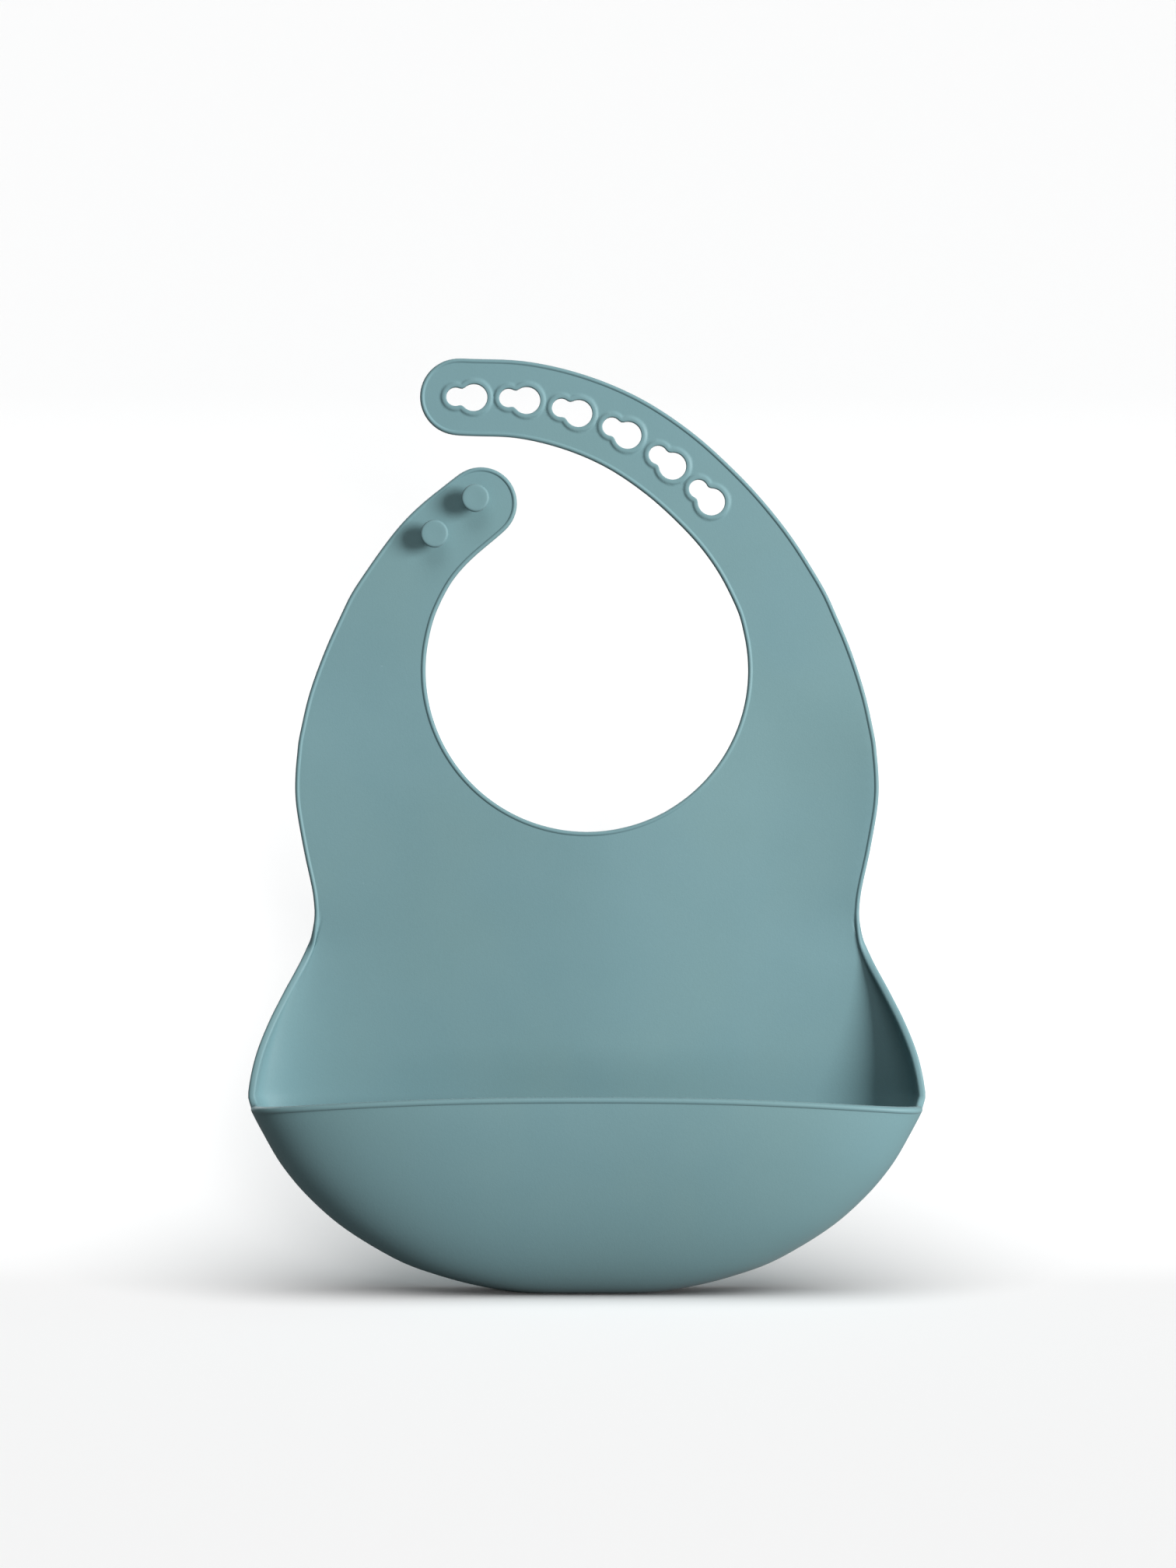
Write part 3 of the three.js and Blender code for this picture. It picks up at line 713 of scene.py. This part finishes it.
# Skins are the areas that the cuts leave.
barrier = {frozenset(e) for line in cut_lines for e in zip(line, line[1:])}
by_edge = {}
for t, tri in enumerate(tris):
    for a, b in ((0, 1), (1, 2), (2, 0)):
        by_edge.setdefault(frozenset((int(tri[a]), int(tri[b]))), []).append(t)
neighbours = [[] for _ in tris]
for edge, pair in by_edge.items():
    if len(pair) == 2 and edge not in barrier:
        neighbours[pair[0]].append(pair[1])
        neighbours[pair[1]].append(pair[0])
SEEDS = {
    "chest": (0, 135), "hole_a": along(HOLE_STRAP, 1.5)[0][0], "hole_b": along(HOLE_STRAP, 3.5)[0][0],
    "hole_c": along(HOLE_STRAP, 6.5)[0][0], "hole_d": along(HOLE_STRAP, 8.5)[0][0],
    "stud_a": along(STUD_STRAP, 1)[0][0], "stud_b": along(STUD_STRAP, 3)[0][0],
}
centres = flat_xz[tris].mean(1)
skin_of = np.full(len(tris), None, object)
for skin, seed in SEEDS.items():
    stack = [int(np.argmin(np.linalg.norm(centres - seed, axis=1)))]
    while stack:
        t = stack.pop()
        if skin_of[t] is None:
            skin_of[t] = skin
            stack += neighbours[t]
for tri, skin in zip(tris, skin_of):
    cells.append((tuple(flat_ids[tri]), skin))

front_side = np.array(front_side)
back_side = np.array(back_side)


def in_metres(points):
    """Millimetres to metres in the row frame."""
    return points * MM + np.array((0, BACK_Y, 0))


def skin_mesh(name, skin):
    """A closed mesh of one skin: both faces, its beads and rims, and flat caps where it is cut."""
    own = [c for c, s in cells if s == skin]
    points, index, faces, caps = [], {}, [], []

    def vertex(key):
        if key not in index:
            kind, node, k = key
            if kind == "f":
                at = front_side[node]
            elif kind == "b":
                at = back_side[node]
            else:
                out, section = edge_of[node]
                n = unit(front_side[node] - back_side[node])
                middle = back_side[node] + n * SHEET / 2
                at = middle + out * section[k, 0] + n * section[k, 1]
            index[key] = len(points)
            points.append(at)
        return index[key]

    def profile(node):
        last = len(edge_of[node][1]) - 1
        return [("f", node, 0)] + [("r", node, k) for k in range(1, last)] + [("b", node, 0)]

    border = {}  # the edges that only one cell has, in order
    for cell in own:
        for a, b in zip(cell, cell[1:] + cell[:1]):
            if (b, a) in border:
                del border[(b, a)]
            else:
                border[(a, b)] = True
        faces.append([vertex(("f", int(n), 0)) for n in cell])
        faces.append([vertex(("b", int(n), 0)) for n in reversed(cell)])
    free = {e for e in border if e[0] in edge_of and e[1] in edge_of}
    starts, ends = {a for a, b in free}, {b for a, b in free}
    for a, b in border:
        if (a, b) in free:
            pa, pb = profile(a), profile(b)
            for k in range(len(pa) - 1):
                faces.append([vertex(pb[k]), vertex(pa[k]), vertex(pa[k + 1]), vertex(pb[k + 1])])
        else:
            caps.append(len(faces))
            corners = (("f", b, 0), ("f", a, 0), ("b", a, 0), ("b", b, 0))
            faces.append([vertex(key) for key in corners])
    for node in starts - ends:
        caps.append(len(faces))
        faces.append([vertex(k) for k in reversed(profile(node))])
    for node in ends - starts:
        caps.append(len(faces))
        faces.append([vertex(k) for k in profile(node)])

    mesh = bpy.data.meshes.new(name)
    mesh.from_pydata(in_metres(np.array(points)).tolist(), [], faces)
    mesh.validate()
    is_cap = np.zeros(len(mesh.polygons), bool)
    is_cap[caps] = True
    edge_faces = {}
    for f in mesh.polygons:
        f.use_smooth = not is_cap[f.index]
        for e in f.edge_keys:
            edge_faces.setdefault(e, []).append(is_cap[f.index])
    for e in mesh.edges:
        e.use_edge_sharp = len(set(edge_faces[e.key])) > 1
    mesh.update()
    piece = bpy.data.objects.new(name, mesh)
    bpy.context.scene.collection.objects.link(piece)
    return piece


# ---------------------------------------------------------------- silicone
def silicone(name, colour):
    material = bpy.data.materials.new(name)
    material.use_nodes = True
    nodes, links = material.node_tree.nodes, material.node_tree.links
    nodes.clear()
    new = nodes.new
    out = new("ShaderNodeOutputMaterial")
    shader = new("ShaderNodeBsdfPrincipled")
    links.new(shader.outputs[0], out.inputs[0])
    coord = new("ShaderNodeTexCoord")

    def noise(scale, detail, rough=0.5):
        n = new("ShaderNodeTexNoise")
        n.inputs["Scale"].default_value = scale
        n.inputs["Detail"].default_value = detail
        n.inputs["Roughness"].default_value = rough
        links.new(coord.outputs["Object"], n.inputs["Vector"])
        return n.outputs["Fac"]

    def remap(value, low, high, to_low, to_high):
        m = new("ShaderNodeMapRange")
        m.interpolation_type = "SMOOTHSTEP"
        links.new(value, m.inputs["Value"])
        for key, v in (("From Min", low), ("From Max", high), ("To Min", to_low), ("To Max", to_high)):
            m.inputs[key].default_value = v
        return m.outputs["Result"]

    def blend(kind, factor, a, b):
        m = new("ShaderNodeMix")
        m.data_type = "RGBA"
        m.blend_type = kind
        if isinstance(factor, float):
            m.inputs["Factor"].default_value = factor
        else:
            links.new(factor, m.inputs["Factor"])
        for socket, value in ((m.inputs[6], a), (m.inputs[7], b)):
            if isinstance(value, tuple):
                socket.default_value = (*value, 1)
            else:
                links.new(value, socket)
        return m.outputs[2]

    r, g, b = colour
    cooler = (r * 0.985, g * 0.996, b * 1.01)
    warmer = (r * 1.012, g * 1.004, b * 0.992)
    cloud = remap(noise(14, 3), 0.35, 0.65, 0, 1)
    tint = blend("MIX", cloud, cooler, warmer)
    grain = remap(noise(900, 2), 0.3, 0.7, 0.0, 1.0)
    tint = blend("MULTIPLY", 0.05, tint, blend("MIX", grain, (0.75, 0.75, 0.75), (1, 1, 1)))
    dust = new("ShaderNodeTexVoronoi")
    dust.inputs["Scale"].default_value = 95
    links.new(coord.outputs["Object"], dust.inputs["Vector"])
    speck = remap(dust.outputs["Distance"], 0.012, 0.035, 1.0, 0.0)
    rare = remap(noise(33, 1), 0.56, 0.66, 0.0, 0.5)
    both = new("ShaderNodeMath")
    both.operation = "MULTIPLY"
    links.new(speck, both.inputs[0])
    links.new(rare, both.inputs[1])
    tint = blend("MIX", both.outputs[0], tint, (r * 1.5, g * 1.35, b * 1.35))
    links.new(tint, shader.inputs["Base Color"])
    links.new(remap(noise(60, 4), 0.3, 0.7, 0.50, 0.64), shader.inputs["Roughness"])
    shader.inputs["Specular IOR Level"].default_value = 0.38
    shader.inputs["Sheen Weight"].default_value = 0.12
    shader.inputs["Sheen Roughness"].default_value = 0.5
    bump = new("ShaderNodeBump")
    bump.inputs["Strength"].default_value = 0.25
    bump.inputs["Distance"].default_value = 0.00012
    links.new(noise(1500, 3, 0.6), bump.inputs["Height"])
    soft = new("ShaderNodeBump")
    soft.inputs["Strength"].default_value = 0.35
    soft.inputs["Distance"].default_value = 0.0006
    links.new(noise(22, 2), soft.inputs["Height"])
    links.new(soft.outputs[0], bump.inputs["Normal"])
    links.new(bump.outputs[0], shader.inputs["Normal"])
    return material


TEAL = silicone("muted_teal_silicone", (0.188, 0.335, 0.359))

SKINS = {
    "pocket_skin": ("pocket", ["pocket_floor", "pocket_front", "pocket_back", "right_side_wall",
                               "left_side_wall", "right_wing", "left_wing"]),
    "chest_skin": ("chest", ["chest_panel", "right_shoulder", "left_shoulder"]),
    "hole_strap_root_skin": ("hole_a", ["hole_strap_root"]),
    "hole_strap_lower_skin": ("hole_b", ["keyhole_link_1"]),
    "hole_strap_middle_skin": ("hole_c", ["keyhole_link_2", "keyhole_link_3"]),
    "hole_strap_tip_skin": ("hole_d", ["keyhole_link_4", "keyhole_link_5", "keyhole_link_6"]),
    "stud_strap_root_skin": ("stud_a", ["stud_strap_root"]),
    "stud_strap_tip_skin": ("stud_b", ["stud_strap_tip"]),
}
skins = {}
for name, (skin, nodes) in SKINS.items():
    piece = skin_mesh(name, skin)
    piece.data.materials.append(TEAL)
    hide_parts(*nodes)
    skins[name] = piece

# ---------------------------------------------------------------- studs
# Half of a stud's section: (radius, height above the sheet's front)
STUD = [
    (4.3, -0.5), (4.25, 0.0), (3.75, 0.1), (3.35, 0.32), (3.08, 0.7), (2.95, 1.2), (2.9, 1.8),
    (2.9, 3.2), (2.92, 3.7), (3.02, 4.05), (3.2, 4.25), (3.5, 4.36), (3.8, 4.42), (4.1, 4.52),
    (4.34, 4.72), (4.49, 5.0), (4.55, 5.35), (4.55, 6.2), (4.5, 6.48), (4.38, 6.72), (4.2, 6.88),
    (3.96, 6.97), (3.65, 7.0), (2.4, 6.98), (1.2, 6.96), (0, 6.95),
]
STUD_SIDES = 72


def stud(name, node):
    low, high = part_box(node)
    cx, cz = (low.x + high.x) / 2, (low.z + high.z) / 2
    front = BACK_Y - SHEET * MM
    points, faces = [], []
    for r, h in STUD[:-1]:
        for i in range(STUD_SIDES):
            a = 2 * math.pi * i / STUD_SIDES
            points.append((cx + r * MM * math.cos(a), front - h * MM, cz + r * MM * math.sin(a)))
    for k in range(len(STUD) - 2):
        low_ring, high_ring = k * STUD_SIDES, (k + 1) * STUD_SIDES
        for i in range(STUD_SIDES):
            j = (i + 1) % STUD_SIDES
            faces.append((low_ring + i, low_ring + j, high_ring + j, high_ring + i))
    top = (len(STUD) - 2) * STUD_SIDES
    points.append((cx, front - STUD[-1][1] * MM, cz))
    faces += [(top + i, top + (i + 1) % STUD_SIDES, len(points) - 1) for i in range(STUD_SIDES)]
    faces.append(tuple(reversed(range(STUD_SIDES))))
    mesh = bpy.data.meshes.new(name)
    mesh.from_pydata(points, [], faces)
    for f in mesh.polygons:
        f.use_smooth = len(f.vertices) < STUD_SIDES
    mesh.update()
    piece = bpy.data.objects.new(name, mesh)
    bpy.context.scene.collection.objects.link(piece)
    piece.data.materials.append(TEAL)
    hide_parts(node)
    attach(piece, "stud_strap_tip")


stud("stud_inner_form", "stud_inner")
stud("stud_outer_form", "stud_outer")


# ---------------------------------------------------------------- the skins' placements baked into their meshes
def bend(name):
    """Bakes a skin's placement into its mesh; it does not bend the skin."""
    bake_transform(skins[name])


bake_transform(skins["pocket_skin"])
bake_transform(skins["chest_skin"])
bend("hole_strap_root_skin")
bend("hole_strap_lower_skin")
bend("hole_strap_middle_skin")
bend("hole_strap_tip_skin")
bend("stud_strap_root_skin")
bend("stud_strap_tip_skin")

# ---------------------------------------------------------------- floor, backdrop, light, camera
scene = bpy.context.scene
scene.view_settings.view_transform = "Standard"
PAPER_WHITE = 0.93
PAPER_BOUNCE = 0.17


def paper(name, points, faces, one_sided):
    mesh = bpy.data.meshes.new(name)
    mesh.from_pydata(points, [], faces)
    for f in mesh.polygons:
        f.use_smooth = True
    mesh.update()
    sheet = bpy.data.objects.new(name, mesh)
    scene.collection.objects.link(sheet)
    sheet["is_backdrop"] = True
    material = bpy.data.materials.new(name + "_paper")
    material.use_nodes = True
    nodes, links = material.node_tree.nodes, material.node_tree.links
    shader = nodes["Principled BSDF"]
    shader.inputs["Base Color"].default_value = (*3 * [PAPER_WHITE], 1)
    shader.inputs["Roughness"].default_value = 0.9
    shader.inputs["Specular IOR Level"].default_value = 0.1
    # The paper throws back less light than it shows, as if flagged off from the object.
    dim = nodes.new("ShaderNodeBsdfDiffuse")
    dim.inputs["Color"].default_value = (*3 * [PAPER_BOUNCE], 1)
    ray = nodes.new("ShaderNodeLightPath")
    shown = nodes.new("ShaderNodeMixShader")
    links.new(ray.outputs["Is Camera Ray"], shown.inputs[0])
    links.new(dim.outputs[0], shown.inputs[1])
    links.new(shader.outputs[0], shown.inputs[2])
    links.new(shown.outputs[0], nodes["Material Output"].inputs[0])
    if one_sided:
        # Seen from behind it is clear, so that it doesn't hide the object.
        clear = nodes.new("ShaderNodeBsdfTransparent")
        which = nodes.new("ShaderNodeNewGeometry")
        either = nodes.new("ShaderNodeMixShader")
        links.new(which.outputs["Backfacing"], either.inputs[0])
        links.new(shown.outputs[0], either.inputs[1])
        links.new(clear.outputs[0], either.inputs[2])
        links.new(either.outputs[0], nodes["Material Output"].inputs[0])
    sheet.data.materials.append(material)
    return sheet


WALL_Y, COVE_R, WIDE, TALL = 0.36, 0.33, 4.0, 3.0
profile_line = [(-WIDE, 0), (WALL_Y - COVE_R, 0)]
profile_line += [(WALL_Y - COVE_R + COVE_R * math.sin(a), COVE_R - COVE_R * math.cos(a))
                 for a in np.linspace(0, math.pi / 2, 33)[1:]]
profile_line.append((WALL_Y, TALL))
paper_points = [(x, y, z) for y, z in profile_line for x in (-WIDE, WIDE)]
paper_faces = [(2 * i, 2 * i + 1, 2 * i + 3, 2 * i + 2) for i in range(len(profile_line) - 1)]
behind = [(-WIDE, WALL_Y, 0), (WIDE, WALL_Y, 0), (WIDE, WIDE, 0), (-WIDE, WIDE, 0)]
papers = [
    paper("backdrop", paper_points, paper_faces, True),
    paper("floor_behind", behind, [(0, 1, 2, 3)], False),
]


def group(name, objects):
    collection = bpy.data.collections.new(name)
    for o in objects:
        collection.objects.link(o)
    return collection


lit_bib = group("lit_bib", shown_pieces())
lit_stage = group("lit_stage", papers)


def lamp(name, kind, energy, receivers):
    data = bpy.data.lights.new(name, kind)
    data.energy = energy
    light = bpy.data.objects.new(name, data)
    scene.collection.objects.link(light)
    light.light_linking.receiver_collection = receivers
    return light


def bib_light(name, at, size, power_w):
    """A square softbox aimed at the bib. The paper is out of its way."""
    light = lamp(name, "AREA", power_w, lit_bib)
    light.data.size = size
    light.location = at
    light.rotation_euler = (middle - Vector(at)).to_track_quat("-Z", "Y").to_euler()
    light.light_linking.blocker_collection = lit_bib


def paper_light(name, way, spread_deg, strength):
    """Light on the paper from far off, from the side the way points to. A wide spread makes it soft."""
    light = lamp(name, "SUN", strength, lit_stage)
    light.data.angle = math.radians(spread_deg)
    light.rotation_euler = Vector(way).to_track_quat("Z", "Y").to_euler()


middle = (cad_box[0] + cad_box[1]) / 2
KEY_WAY = Vector((0.773, -0.604, 0.193)).normalized()
KEY_AWAY = 2.0
bib_light("key", middle + KEY_WAY * KEY_AWAY, 0.8, 50)
bib_light("fill", (0.0, -1.3, 1.9), 1.2, 13)
bib_light("rear", (-0.6, 2.2, 1.6), 1.2, 45)
paper_light("backdrop_light", (0.2, -1, 0.1), 16, 1.3)
paper_light("overhead", (0.1, -0.62, 1), 75, 3.1)

ROOM_LIGHT = 0.07
world = bpy.data.worlds.new("studio")
scene.world = world
world.use_nodes = True
sky = world.node_tree
background = sky.nodes["Background"]
background.inputs[0].default_value = (1, 1, 1, 1)
background.inputs[1].default_value = ROOM_LIGHT
seen_background = sky.nodes.new("ShaderNodeBackground")
seen_background.inputs[0].default_value = (*3 * [PAPER_WHITE], 1)
seen_background.inputs[1].default_value = 1.0
sky_ray = sky.nodes.new("ShaderNodeLightPath")
which_sky = sky.nodes.new("ShaderNodeMixShader")
sky.links.new(sky_ray.outputs["Is Camera Ray"], which_sky.inputs[0])
sky.links.new(background.outputs[0], which_sky.inputs[1])
sky.links.new(seen_background.outputs[0], which_sky.inputs[2])
sky.links.new(which_sky.outputs[0], sky.nodes["World Output"].inputs[0])

LENS, SENSOR = 85.0, 36.0
VIEW_HEIGHT = 0.5117  # height of the frame at the object
VIEW_X, VIEW_Y, VIEW_Z = 0.0004, 0.012, 0.1656  # the middle of the view
camera_data = bpy.data.cameras.new("camera")
camera_data.lens, camera_data.sensor_width = LENS, SENSOR
camera = bpy.data.objects.new("camera", camera_data)
scene.collection.objects.link(camera)
camera.location = (VIEW_X, VIEW_Y - VIEW_HEIGHT * LENS / SENSOR, VIEW_Z)
camera.rotation_euler = (math.pi / 2, 0, 0)
camera_data.clip_start, camera_data.clip_end = 0.05, 50
scene.camera = camera
